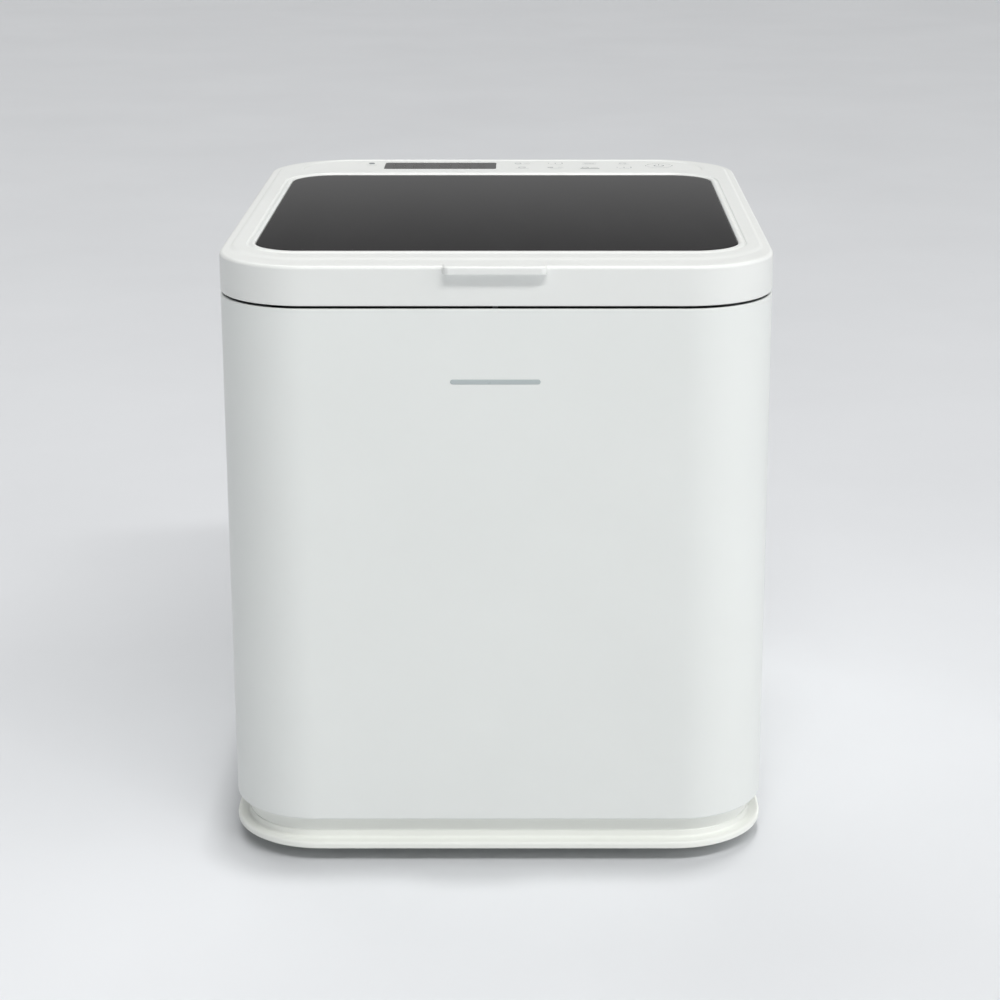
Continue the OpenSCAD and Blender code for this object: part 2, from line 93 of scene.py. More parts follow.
def add(name, bm_or_me, body, mats, replaces=(), angle=28.0, weighted=True):
    me = bm_or_me if isinstance(bm_or_me, bpy.types.Mesh) else finish_mesh(bm_or_me, name, angle)
    ob = link(bpy.data.objects.new(name, me))
    for m in (mats if isinstance(mats, (list, tuple)) else [mats]):
        me.materials.append(m)
    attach(ob, body)
    if replaces:
        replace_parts(ob, *replaces)
    if weighted:
        w = ob.modifiers.new("weighted_normals", "WEIGHTED_NORMAL")
        w.keep_sharp = True
        w.weight = 80
    return ob


def rr_loop(w, d, r, cy=0.0, rf=None, n=14, sx=8, sy=10):
    """A rounded rectangle in millimetres, anticlockwise, always with the same number of points.
    r rounds the rear corners and rf the front ones."""
    rf = r if rf is None else rf
    pts = []

    def line(a, b, k):
        for i in range(1, k):
            t = i / k
            pts.append((a[0] + (b[0] - a[0]) * t, a[1] + (b[1] - a[1]) * t))

    def arc(cx, cyy, rad, a0):
        for i in range(n + 1):
            a = math.radians(a0 + 90.0 * i / n)
            pts.append((cx + rad * math.cos(a), cyy + rad * math.sin(a)))

    x, y0, y1 = w / 2, cy - d / 2, cy + d / 2
    line((x, y0 + rf), (x, y1 - r), sy)
    arc(x - r, y1 - r, r, 0)
    line((x - r, y1), (-x + r, y1), sx)
    arc(-x + r, y1 - r, r, 90)
    line((-x, y1 - r), (-x, y0 + rf), sy)
    arc(-x + rf, y0 + rf, rf, 180)
    line((-x + rf, y0), (x - rf, y0), sx)
    arc(x - rf, y0 + rf, rf, 270)
    return pts


def loft(loops, closed=False, cap_first=False, cap_last=False, bm=None):
    """loops: lists of (x, y, z) in millimetres, all the same length."""
    bm = bm or bmesh.new()
    rings = [[bm.verts.new((x * MM, y * MM, z * MM)) for x, y, z in lp] for lp in loops]
    n = len(rings[0])
    pairs = list(zip(rings[:-1], rings[1:]))
    if closed:
        pairs.append((rings[-1], rings[0]))
    for a, b in pairs:
        for i in range(n):
            j = (i + 1) % n
            bm.faces.new((a[i], a[j], b[j], b[i]))
    if cap_first:
        bm.faces.new(list(reversed(rings[0])))
    if cap_last:
        bm.faces.new(rings[-1])
    return bm


def L(w, d, r, z, cy=0.0, rf=None, **k):
    return [(x, y, z) for x, y in rr_loop(w, d, r, cy, rf, **k)]


def arc_profile(w, d, r, z, f, a0, a1, k, cy=0.0, inward=1, **kw):
    """Loops round an edge fillet of radius f. The fillet's centre is at inset f and height z."""
    out = []
    for i in range(k + 1):
        a = math.radians(a0 + (a1 - a0) * i / k)
        ins = f - f * math.cos(a)
        out.append(L(w - 2 * ins, d - 2 * ins, r - ins, z + f * math.sin(a), cy, **kw))
    return out


def boolean(ob, cutter, op="DIFFERENCE"):
    m = ob.modifiers.new("b", "BOOLEAN")
    m.operation = op
    m.solver = "EXACT"
    m.object = cutter
    dg = bpy.context.evaluated_depsgraph_get()
    me = bpy.data.meshes.new_from_object(ob.evaluated_get(dg))
    ob.modifiers.remove(m)
    ob.data = me
    bpy.data.objects.remove(cutter)
    return ob


def temp(bm, name="tmp"):
    me = finish_mesh(bm, name)
    return link(bpy.data.objects.new(name, me))


def block(x0, x1, y0, y1, z0, z1, bm=None):
    bm = bm or bmesh.new()
    v = [bm.verts.new((x * MM, y * MM, z * MM)) for z in (z0, z1) for x, y in ((x0, y0), (x1, y0), (x1, y1), (x0, y1))]
    for q in ((3, 2, 1, 0), (4, 5, 6, 7), (0, 1, 5, 4), (1, 2, 6, 5), (2, 3, 7, 6), (3, 0, 4, 7)):
        bm.faces.new([v[i] for i in q])
    return bm


def resmooth(ob, angle=28.0, bevel=0.0, segs=2, bevel_angle=30.0, dissolve=False):
    bm = bmesh.new()
    bm.from_mesh(ob.data)
    bmesh.ops.remove_doubles(bm, verts=bm.verts, dist=2e-6)
    if dissolve:
        bmesh.ops.dissolve_limit(bm, angle_limit=math.radians(0.6), verts=bm.verts, edges=bm.edges)
    if bevel > 0:
        lim = math.radians(bevel_angle)
        es = [e for e in bm.edges if len(e.link_faces) == 2 and e.calc_face_angle(0.0) > lim]
        if es:
            bmesh.ops.bevel(bm, geom=es, offset=bevel, offset_type="OFFSET", segments=segs, profile=0.5,
                            affect="EDGES", clamp_overlap=True)
    mats = list(ob.data.materials)
    me = finish_mesh(bm, ob.data.name, angle)
    for m in mats:
        me.materials.append(m)
    ob.data = me
    return ob


# ------------------------------------------------------------------ materials
def new_mat(name):
    m = bpy.data.materials.new(name)
    m.use_nodes = True
    nt = m.node_tree
    nt.nodes.clear()
    out = nt.nodes.new("ShaderNodeOutputMaterial")
    bsdf = nt.nodes.new("ShaderNodeBsdfPrincipled")
    nt.links.new(bsdf.outputs[0], out.inputs[0])
    tc = nt.nodes.new("ShaderNodeTexCoord")
    return m, nt, bsdf, tc.outputs["Object"]


def noise(nt, vec, scale, detail=3.0, rough=0.5, stretch=None):
    if stretch is not None:
        mp = nt.nodes.new("ShaderNodeMapping")
        mp.inputs["Scale"].default_value = stretch
        nt.links.new(vec, mp.inputs["Vector"])
        vec = mp.outputs[0]
    n = nt.nodes.new("ShaderNodeTexNoise")
    n.inputs["Scale"].default_value = scale
    n.inputs["Detail"].default_value = detail
    n.inputs["Roughness"].default_value = rough
    nt.links.new(vec, n.inputs["Vector"])
    return n.outputs["Fac"]


def ramp(nt, fac, lo, hi, c0, c1):
    r = nt.nodes.new("ShaderNodeValToRGB")
    r.color_ramp.elements[0].position = lo
    r.color_ramp.elements[1].position = hi
    r.color_ramp.elements[0].color = c0 if hasattr(c0, "__len__") else (c0, c0, c0, 1)
    r.color_ramp.elements[1].color = c1 if hasattr(c1, "__len__") else (c1, c1, c1, 1)
    nt.links.new(fac, r.inputs["Fac"])
    return r.outputs["Color"]


def mix(nt, fac, a, b, kind="RGBA"):
    m = nt.nodes.new("ShaderNodeMix")
    m.data_type = kind
    ins = [s for s in m.inputs if s.enabled] if False else m.inputs
    fi, ai, bi = (0, 6, 7) if kind == "RGBA" else (0, 2, 3)
    for idx, val in ((fi, fac), (ai, a), (bi, b)):
        if hasattr(val, "is_output") or isinstance(val, bpy.types.NodeSocket):
            nt.links.new(val, m.inputs[idx])
        else:
            m.inputs[idx].default_value = val
    return m.outputs[2] if kind == "RGBA" else m.outputs[0]


def bump(nt, bsdf, height, strength, dist, prev=None):
    b = nt.nodes.new("ShaderNodeBump")
    b.inputs["Strength"].default_value = strength
    b.inputs["Distance"].default_value = dist
    nt.links.new(height, b.inputs["Height"])
    if prev is not None:
        nt.links.new(prev, b.inputs["Normal"])
    nt.links.new(b.outputs[0], bsdf.inputs["Normal"])
    return b.outputs[0]


def edge_mask(nt, radius=0.0012, lo=0.02, hi=0.25):
    """White on edges, from the difference between the true and the rounded normal."""
    bv = nt.nodes.new("ShaderNodeBevel")
    bv.samples = 4
    bv.inputs["Radius"].default_value = radius
    g = nt.nodes.new("ShaderNodeNewGeometry")
    d = nt.nodes.new("ShaderNodeVectorMath")
    d.operation = "DISTANCE"
    nt.links.new(bv.outputs[0], d.inputs[0])
    nt.links.new(g.outputs["Normal"], d.inputs[1])
    return ramp(nt, d.outputs["Value"], lo, hi, 0.0, 1.0)


def plastic(name, col, rough=0.4, grain=900.0, grain_strength=0.10, tone=0.035, spec=0.5, coat=0.0, dist=0.00012,
            dust=None, broad=9.0, ripple=0.05):
    """Moulded plastic or enamel: a fine grain in the surface, broad tone changes and uneven gloss."""
    m, nt, b, vec = new_mat(name)
    big = noise(nt, vec, broad, 4.0, 0.55)
    mid = noise(nt, vec, 70.0, 3.0, 0.6)
    dark = tuple(c * (1 - tone) for c in col[:3]) + (1,)
    light = tuple(min(1.0, c * (1 + tone * 0.6)) for c in col[:3]) + (1,)
    c = ramp(nt, big, 0.3, 0.7, dark, light)
    if dust is not None:
        sp = noise(nt, vec, 2600.0, 2.0, 0.5)
        c = mix(nt, ramp(nt, sp, 0.66, 0.78, 0.0, 0.5), c, dust)
    nt.links.new(c, b.inputs["Base Color"])
    r = ramp(nt, mid, 0.25, 0.75, rough - 0.045, rough + 0.055)
    nt.links.new(r, b.inputs["Roughness"])
    b.inputs["Specular IOR Level"].default_value = spec
    b.inputs["Coat Weight"].default_value = coat
    b.inputs["Coat Roughness"].default_value = 0.12
    g = noise(nt, vec, grain, 2.0, 0.5)
    n1 = bump(nt, b, g, grain_strength, dist)
    w = noise(nt, vec, 38.0, 2.0, 0.5)
    bump(nt, b, w, ripple, 0.0006, n1)
    return m


def metal(name, col, rough=0.32, stretch=(1, 1, 1), scale=420.0, tone=0.12, strength=0.16, edge=0.0):
    m, nt, b, vec = new_mat(name)
    grain = noise(nt, vec, scale, 4.0, 0.6, stretch)
    big = noise(nt, vec, 14.0, 4.0, 0.6)
    dark = tuple(c * (1 - tone) for c in col[:3]) + (1,)
    light = tuple(min(1.0, c * (1 + tone * 0.5)) for c in col[:3]) + (1,)
    c = ramp(nt, grain, 0.3, 0.7, dark, light)
    c = mix(nt, ramp(nt, big, 0.35, 0.75, 0.0, 0.35), c, dark)
    if edge > 0:
        c = mix(nt, edge_mask(nt), c, tuple(min(1.0, x * (1 + edge)) for x in col[:3]) + (1,))
    nt.links.new(c, b.inputs["Base Color"])
    b.inputs["Metallic"].default_value = 1.0
    nt.links.new(ramp(nt, big, 0.2, 0.8, rough - 0.06, rough + 0.1), b.inputs["Roughness"])
    bump(nt, b, grain, strength, 0.00008)
    return m


def rubber_mat(name, col=0.028):
    m, nt, b, vec = new_mat(name)
    f = noise(nt, vec, 60.0, 4.0, 0.6)
    c = ramp(nt, f, 0.3, 0.75, (col * 0.8,) * 3 + (1,), (col * 1.6,) * 3 + (1,))
    dust = noise(nt, vec, 1300.0, 2.0, 0.5)
    c = mix(nt, ramp(nt, dust, 0.6, 0.8, 0.0, 0.25), c, (0.16, 0.16, 0.155, 1))
    nt.links.new(c, b.inputs["Base Color"])
    nt.links.new(ramp(nt, f, 0.2, 0.8, 0.62, 0.8), b.inputs["Roughness"])
    b.inputs["Specular IOR Level"].default_value = 0.35
    bump(nt, b, noise(nt, vec, 1600.0, 2.0, 0.6), 0.25, 0.00012)
    return m


WHITE = srgb(232, 235, 233)
M = {}
M["shell"] = plastic("white_enamel_shell", WHITE, 0.36, 520.0, 0.07, 0.012, 0.45, 0.0, 0.0001)
M["lid"] = plastic("white_moulded_lid", srgb(233, 235, 233), 0.34, 1100.0, 0.06, 0.012, 0.45, 0.0, 0.00008)
M["base"] = plastic("white_moulded_base", srgb(243, 245, 240), 0.38, 1100.0, 0.07, 0.015, 0.45, 0.0, 0.00008)
M["overlay"] = plastic("control_film", srgb(233, 235, 233), 0.36, 1100.0, 0.03, 0.008, 0.4, 0.0, 0.00004, None, 5.0, 0.0)
M["grey_panel"] = plastic("rear_panel_powder", srgb(196, 199, 199), 0.5, 1500.0, 0.35, 0.03, 0.4, 0.0, 0.00014)
M["filter_cover"] = plastic("filter_cover_plastic", srgb(176, 179, 180), 0.45, 1400.0, 0.25, 0.03, 0.4, 0.0, 0.00012)
M["black"] = plastic("black_moulding", srgb(40, 40, 42), 0.46, 1500.0, 0.3, 0.12, 0.4, 0.0, 0.00012, srgb(92, 92, 94))
M["liner"] = plastic("chamber_liner_plastic", srgb(150, 153, 156), 0.42, 1300.0, 0.22, 0.05, 0.4, 0.0, 0.00012)
M["deck"] = plastic("deck_enamel", srgb(205, 208, 208), 0.38, 900.0, 0.12, 0.02, 0.45)
M["lid_liner"] = plastic("lid_liner_plastic", srgb(203, 206, 206), 0.44, 1400.0, 0.25, 0.025, 0.4, 0.0, 0.00012)
M["bucket"] = plastic("bucket_plastic", srgb(120, 123, 127), 0.42, 1300.0, 0.25, 0.06, 0.4, 0.0, 0.00014)
M["ring"] = plastic("ring_plastic", srgb(66, 67, 70), 0.4, 1500.0, 0.25, 0.08, 0.4, 0.0, 0.00012, srgb(110, 111, 113))
M["motor"] = plastic("motor_enamel", srgb(78, 82, 86), 0.4, 600.0, 0.2, 0.08, 0.5)
M["pcb"] = plastic("solder_mask", srgb(22, 92, 52), 0.3, 1800.0, 0.2, 0.15, 0.5)
M["zinc"] = metal("zinc_plate", (0.62, 0.63, 0.64), 0.36, (1, 1, 1), 260.0, 0.16, 0.12, 0.2)
M["screw"] = metal("screw_steel", (0.6, 0.6, 0.61), 0.3, (1, 1, 1), 900.0, 0.14, 0.2, 0.3)
M["bright"] = metal("ground_steel", (0.68, 0.69, 0.7), 0.22, (1, 1, 0.06), 900.0, 0.12, 0.2, 0.15)
M["hinge"] = metal("hinge_steel", (0.6, 0.61, 0.62), 0.3, (0.05, 1, 1), 900.0, 0.12, 0.2, 0.25)
M["alloy"] = metal("cast_alloy", (0.6, 0.61, 0.62), 0.42, (1, 1, 1), 1500.0, 0.16, 0.4, 0.25)
M["brass"] = metal("machined_brass", (0.72, 0.53, 0.24), 0.26, (1, 1, 0.1), 900.0, 0.12, 0.15, 0.2)
M["magnet"] = metal("magnet_iron", (0.2, 0.2, 0.205), 0.4, (1, 1, 1), 900.0, 0.2, 0.3, 0.2)
M["rubber"] = rubber_mat("black_rubber")
M["gasket"] = rubber_mat("gasket_rubber", 0.075)


def glass_mat():
    """Smoked glass: near black, polished, with faint wiping marks in its gloss."""
    m, nt, b, vec = new_mat("smoked_glass")
    n = noise(nt, vec, 7.0, 5.0, 0.6, (1.0, 0.35, 1.0))
    c = ramp(nt, n, 0.3, 0.75, srgb(30, 29, 30), srgb(36, 35, 36))
    nt.links.new(c, b.inputs["Base Color"])
    wipe = noise(nt, vec, 22.0, 6.0, 0.65, (1.0, 0.22, 1.0))
    nt.links.new(ramp(nt, wipe, 0.35, 0.8, 0.035, 0.10), b.inputs["Roughness"])
    b.inputs["Specular IOR Level"].default_value = 0.028
    bump(nt, b, noise(nt, vec, 5.0, 2.0, 0.5), 0.02, 0.0006)
    return m


def lens_mat():
    m, nt, b, vec = new_mat("display_lens")
    n = noise(nt, vec, 30.0, 4.0, 0.6)
    nt.links.new(ramp(nt, n, 0.3, 0.75, srgb(31, 31, 32), srgb(37, 36, 37)), b.inputs["Base Color"])
    nt.links.new(ramp(nt, n, 0.2, 0.8, 0.06, 0.12), b.inputs["Roughness"])
    b.inputs["Specular IOR Level"].default_value = 0.06
    bump(nt, b, n, 0.02, 0.0004)
    return m


M["glass"] = glass_mat()
M["lens"] = lens_mat()
M["lens_off"] = plastic("display_segment_off", srgb(84, 83, 81), 0.4, 1500.0, 0.1, 0.04, 0.3)
M["print"] = plastic("key_print", srgb(176, 180, 180), 0.4, 1800.0, 0.1, 0.03, 0.3)
M["print_dark"] = plastic("key_print_dark", srgb(140, 145, 147), 0.4, 1800.0, 0.1, 0.03, 0.3)
M["badge"] = plastic("badge_silver", srgb(178, 187, 188), 0.3, 2000.0, 0.12, 0.04, 0.6)


def carbon_mat():
    m, nt, b, vec = new_mat("carbon_granules")
    v = nt.nodes.new("ShaderNodeTexVoronoi")
    v.inputs["Scale"].default_value = 520.0
    nt.links.new(vec, v.inputs["Vector"])
    # painted shade: each granule's colour darkens from its middle out to the gaps between granules, where shade falls
    nt.links.new(ramp(nt, v.outputs["Distance"], 0.0, 0.7, (0.05, 0.05, 0.052, 1), (0.012, 0.012, 0.013, 1)), b.inputs["Base Color"])
    nt.links.new(ramp(nt, v.outputs["Distance"], 0.0, 0.7, 0.45, 0.85), b.inputs["Roughness"])
    bump(nt, b, v.outputs["Distance"], 0.6, 0.0006)
    return m


M["carbon"] = carbon_mat()

# ------------------------------------------------------------------ main dimensions, read from the frame
s_lo, s_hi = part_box("cabinet_shell")
W, D = (s_hi.x - s_lo.x) / MM, (s_hi.y - s_lo.y) / MM
Z0, Z1 = s_lo.z / MM, s_hi.z / MM
R = 65.0
l_lo, l_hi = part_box("lid_frame")
LZ0 = l_lo.z / MM
lip_lo, lip_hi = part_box("finger_lip" if "finger_lip" in NODES else "lid_frame")
LIP_TOP = lip_hi.z / MM
LIP_Y = lip_lo.y / MM
o_lo, o_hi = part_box("control_overlay")
LT = o_hi.z / MM
g_lo, g_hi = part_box("lid_glass")
GW, GD = (g_hi.x - g_lo.x) / MM, (g_hi.y - g_lo.y) / MM
GCY = (g_hi.y + g_lo.y) / 2 / MM
b_lo, b_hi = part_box("base_tray")
FZ = b_lo.z / MM
FW, FD = (b_hi.x - b_lo.x) / MM, (b_hi.y - b_lo.y) / MM

# ------------------------------------------------------------------ cabinet shell
t = 2.5
prof = []
prof.append(L(W - 26, D - 26, R - 13, Z0))
prof += arc_profile(W, D, R, Z0 + 1.8, 1.8, -90, 0, 5)
for k in range(1, 6):
    prof.append(L(W, D, R, Z0 + 1.8 + (Z1 - Z0 - 3.2) * k / 6))
prof += arc_profile(W, D, R, Z1 - 1.2, 1.2, 0, 90, 5)
prof.append(L(W - 2 * t + 0.8, D - 2 * t + 0.8, R - t + 0.4, Z1))
prof.append(L(W - 2 * t, D - 2 * t, R - t, Z1 - 0.5))
prof.append(L(W - 2 * t, D - 2 * t, R - t, Z0 + 2))
prof.append(L(W - 26, D - 26, R - 13, Z0 + 2))
shell = temp(loft(prof, closed=True), "cabinet_wrap")
shell = boolean(shell, temp(block(-118, 118, D / 2 - 9, D / 2 + 3, 55, 385)))
for x in (-124, 124):
    for z in (65, 168, 272, 375):
        bm = bmesh.new()
        bmesh.ops.create_cone(bm, cap_ends=True, segments=24, radius1=2.1 * MM, radius2=2.1 * MM, depth=12 * MM,
                              matrix=Matrix.Translation((x * MM, (D / 2 - 1) * MM, z * MM)) @ Matrix.Rotation(math.pi / 2, 4, "X"))
        shell = boolean(shell, temp(bm))
me = shell.data
bpy.data.objects.remove(shell)
me.name = "cabinet_wrap"
shell = link(bpy.data.objects.new("cabinet_wrap", me))
resmooth(shell, 28)
shell.data.materials.clear()
shell.data.materials.append(M["shell"])
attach(shell, "cabinet"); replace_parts(shell, "cabinet_shell")
w = shell.modifiers.new("weighted_normals", "WEIGHTED_NORMAL"); w.keep_sharp = True

# ------------------------------------------------------------------ base flange and neck
ni = 9.0
prof = [L(FW - 8, FD - 8, R + 0, FZ)]
prof += arc_profile(FW, FD, R + 4, FZ + 0.9, 0.9, -90, 0, 4)
prof += arc_profile(FW, FD, R + 4, FZ + 5.4 - 2.3, 2.3, 0, 90, 7)
prof.append(L(W - 2 * ni + 6, D - 2 * ni + 6, R - ni + 3, FZ + 5.45))
# cove and low step at the foot of the neck
for a in (0, 22, 45, 68, 90):
    q = math.radians(a)
    ins = 1.6 * math.sin(q)
    prof.append(L(W - 2 * ni + 4.6 - 2 * ins, D - 2 * ni + 4.6 - 2 * ins, R - ni + 2.3 - ins, FZ + 5.5 + 1.6 * (1 - math.cos(q))))
prof.append(L(W - 2 * ni + 1.4, D - 2 * ni + 1.4, R - ni + 0.7, 22.2))
prof.append(L(W - 2 * ni + 0.9, D - 2 * ni + 0.9, R - ni + 0.45, 22.7))
prof.append(L(W - 2 * ni, D - 2 * ni, R - ni, 22.9))
prof.append(L(W - 2 * ni, D - 2 * ni, R - ni, 23.4))
prof.append(L(W - 2 * ni, D - 2 * ni, R - ni, Z0))
prof.append(L(W - 2 * ni - 6, D - 2 * ni - 6, R - ni - 3, Z0))
prof.append(L(W - 2 * ni - 6, D - 2 * ni - 6, R - ni - 3, FZ + 5.4))
base = temp(loft(prof, cap_first=True, cap_last=True), "base_moulding")
for i in range(-3, 4):
    base = boolean(base, temp(block(-60, 60, i * 24 - 4, i * 24 + 4, FZ - 2, FZ + 8)))
base.name = "base_moulding"
resmooth(base, 28)
base.data.materials.clear(); base.data.materials.append(M["base"])
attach(base, "cabinet"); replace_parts(base, "base_tray")
w = base.modifiers.new("weighted_normals", "WEIGHTED_NORMAL"); w.keep_sharp = True

# ------------------------------------------------------------------ lid
f = 2.8
rim = LT - 0.9
glass_top = g_hi.z / MM - 0.05
prof = [L(W - 5, D - 5, R - 2.5, LZ0)]
prof += arc_profile(W, D, R, LZ0 + 1.1, 1.1, -90, 0, 5)
for k in range(1, 4):
    prof.append(L(W, D, R, LZ0 + 1.1 + (rim - LZ0 - 1.1 - f) * k / 4))
prof += arc_profile(W, D, R, rim - f, f, 0, 90, 9)


def inner(x, yf, yr, r, z):
    return L(2 * x, yr - yf, r, z, (yr + yf) / 2)


# outer rim, then a soft step up to the field round the glass, wide across the front
prof.append(inner(194.6, -221.0, 235.6, 59.6, rim))
prof.append(inner(194.0, -219.4, 235.1, 59.0, rim + 0.03))
prof.append(inner(193.4, -217.6, 234.7, 58.4, rim + 0.22))
prof.append(inner(192.5, -214.4, 234.3, 57.6, LT - 0.20))
prof.append(inner(191.8, -212.6, 233.9, 57.0, LT - 0.03))
prof.append(inner(191.0, -211.0, 233.6, 56.4, LT))
# groove round the bead
prof.append(inner(183.4, -198.4, 161.4, 41.4, LT))
prof.append(inner(182.9, -197.6, 160.9, 40.9, LT - 0.10))
prof.append(inner(182.1, -196.2, 160.1, 40.1, LT - 0.72))
prof.append(inner(181.4, -195.2, 159.4, 39.4, LT - 0.86))
prof.append(inner(180.7, -194.2, 158.7, 38.7, LT - 0.72))
# bead
prof.append(inner(180.1, -193.0, 158.1, 38.1, LT - 0.22))
prof.append(inner(179.5, -191.6, 157.5, 37.5, LT - 0.03))
prof.append(inner(178.9, -190.0, 156.9, 36.9, LT))
prof.append(inner(178.3, -188.4, 156.2, 36.2, LT - 0.08))
prof.append(inner(177.7, -186.9, 155.5, 35.4, LT - 0.36))
prof.append(inner(177.1, -185.8, 154.8, 34.7, glass_top - 0.10))
prof.append(inner(176.9, -185.4, 154.6, 34.4, glass_top - 0.6))
prof.append(inner(176.9, -185.4, 154.6, 34.4, g_lo.z / MM))
prof.append(inner(169.5, -178.0, 147.0, 27, g_lo.z / MM))
prof.append(inner(169.5, -178.0, 147.0, 27, g_lo.z / MM - 2.5))
prof.append(L(W - 14, D - 14, R - 7, LT - 4.8))
prof.append(L(W - 5, D - 5, R - 2.5, LT - 5.4))
lid = temp(loft(prof, closed=True), "lid_shell")

# control recess with sloped walls, its rear corners follow the lid's
CY0, CY1 = 170.5, 233.0
crx = 176.5
film_z = LT - 0.75


def ctl(inset, z):
    return L(2 * (crx - inset), (CY1 - CY0) - 2 * inset, 46 - inset, z, (CY0 + CY1) / 2, rf=14 - inset, n=14)


cut = loft([ctl(3.0, LT - 2.2), ctl(3.0, film_z), ctl(2.3, film_z), ctl(0.0, LT + 0.0), ctl(-0.5, LT + 0.6)], cap_first=True, cap_last=True)
lid = boolean(lid, temp(cut))

# finger lip: a rounded tab that blends out of the lid's top front edge
hw, lip_r = 36.5, 4.6
LB = LIP_TOP - 6.2


def tab(inset, z, y_back):
    pts = []
    y_front = LIP_Y + inset
    x = hw - inset
    r = max(0.6, lip_r - inset * 0.6)
    for i in range(9):
        a = math.radians(180 + 90 * i / 8)
        pts.append((-x + r + r * math.cos(a), y_front + r + r * math.sin(a), z))
    for i in range(1, 8):
        pts.append((-x + r + (2 * x - 2 * r) * i / 8, y_front, z))
    for i in range(9):
        a = math.radians(270 + 90 * i / 8)
        pts.append((x - r + r * math.cos(a), y_front + r + r * math.sin(a), z))
    pts.append((x, y_back, z))
    for i in range(1, 8):
        pts.append((x - 2 * x * i / 8, y_back, z))
    pts.append((-x, y_back, z))
    return pts


lipl = []
for a in (-90, -60, -30, 0):
    q = math.radians(a)
    lipl.append(tab(1.1 - 1.1 * math.cos(q), LB + 1.1 + 1.1 * math.sin(q), -D / 2 + 3.0))
for a in (0, 22, 45, 67, 90):
    q = math.radians(a)
    lipl.append(tab(2.0 - 2.0 * math.cos(q), LIP_TOP - 2.0 + 2.0 * math.sin(q), -D / 2 + 3.4))
lip = temp(loft(lipl, cap_first=True, cap_last=True), "lip_tmp")
# the tab's top runs down to the lid top over a few millimetres
bm = bmesh.new(); bm.from_mesh(lip.data)
for v in bm.verts:
    if v.co.y > (-D / 2 + 2.5) * MM and v.co.z > (LT - 1.5) * MM:
        v.co.z = (LT - 0.25) * MM
bm.to_mesh(lip.data); bm.free()
lid = boolean(lid, lip, "UNION")
lid.name = "lid_shell"
resmooth(lid, 24)
lid.data.materials.clear(); lid.data.materials.append(M["lid"])
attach(lid, "lid"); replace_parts(lid, *[n for n in ("lid_frame", "finger_lip") if n in NODES])
w = lid.modifiers.new("weighted_normals", "WEIGHTED_NORMAL"); w.keep_sharp = True

# ------------------------------------------------------------------ glass
gz = glass_top
prof = []
prof.append(inner(176.5, -185.0, 154.2, 34.0, g_lo.z / MM + 0.3))
prof.append(inner(176.5, -185.0, 154.2, 34.0, gz - 0.6))
for a in (20, 45, 70, 90):
    q = math.radians(a)
    i_ = 0.6 * (1 - math.cos(q))
    prof.append(inner(176.5 - i_, -185.0 + i_, 154.2 - i_, 34.0 - i_, gz - 0.6 + 0.6 * math.sin(q)))
prof.append(inner(170.0, -178.5, 147.7, 28.0, gz))
bm = loft(prof, cap_first=True, cap_last=True)
glass = add("smoked_glass_panel", bm, "lid", M["glass"], ("lid_glass",), angle=60)

# ------------------------------------------------------------------ control film, display and key marks
prof = [ctl(3.2, LT - 1.6), ctl(3.2, film_z - 0.12), ctl(3.35, film_z), ctl(8.0, film_z)]
film = temp(loft(prof, cap_first=True, cap_last=True), "control_film")
DX, DY, DW, DD = -55.0, 204.0, 98.0, 36.0
disp_hole = loft([L(DW, DD, 3, film_z - 0.35, DY), L(DW + 0.5, DD + 0.5, 3.2, film_z + 0.3, DY)], cap_first=True, cap_last=True)
bmesh.ops.translate(disp_hole, verts=disp_hole.verts, vec=(DX * MM, 0, 0))
film = boolean(film, temp(disp_hole))
film.name = "control_film"
resmooth(film, 25)
film.data.materials.clear(); film.data.materials.append(M["overlay"])
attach(film, "lid"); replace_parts(film, *[n for n in ("control_overlay", "touch_keys", "start_key") if n in NODES])

lz = film_z - 0.12
bm = loft([L(DW - 0.2, DD - 0.2, 2.9, film_z - 0.6, DY), L(DW - 0.2, DD - 0.2, 2.9, lz - 0.1, DY), L(DW - 0.5, DD - 0.5, 2.7, lz, DY)], cap_first=True, cap_last=True)
bmesh.ops.translate(bm, verts=bm.verts, vec=(DX * MM, 0, 0))
lens = add("display_lens", bm, "lid", M["lens"], ("display_window",), angle=40)


def flat_poly(bm, pts, z, h=0.06):
    """A thin printed mark with a real, very small thickness."""
    lo = [bm.verts.new((x * MM, y * MM, (z - 0.05) * MM)) for x, y in pts]
    hi = [bm.verts.new((x * MM, y * MM, (z + h) * MM)) for x, y in pts]
    n = len(pts)
    for i in range(n):
        j = (i + 1) % n
        bm.faces.new((lo[i], lo[j], hi[j], hi[i]))
    bm.faces.new(hi)
    bm.faces.new(list(reversed(lo)))


def bar(bm, cx, cy, w_, d_, z, r=None, n=5):
    r = min(w_, d_) / 2 * 0.98 if r is None else r
    pts = []
    for sx, sy, a0 in ((1, 1, 0), (-1, 1, 90), (-1, -1, 180), (1, -1, 270)):
        for i in range(n + 1):
            a = math.radians(a0 + 90 * i / n)
            pts.append((cx + sx * (w_ / 2 - r) + r * math.cos(a), cy + sy * (d_ / 2 - r) + r * math.sin(a)))
    flat_poly(bm, pts, z)


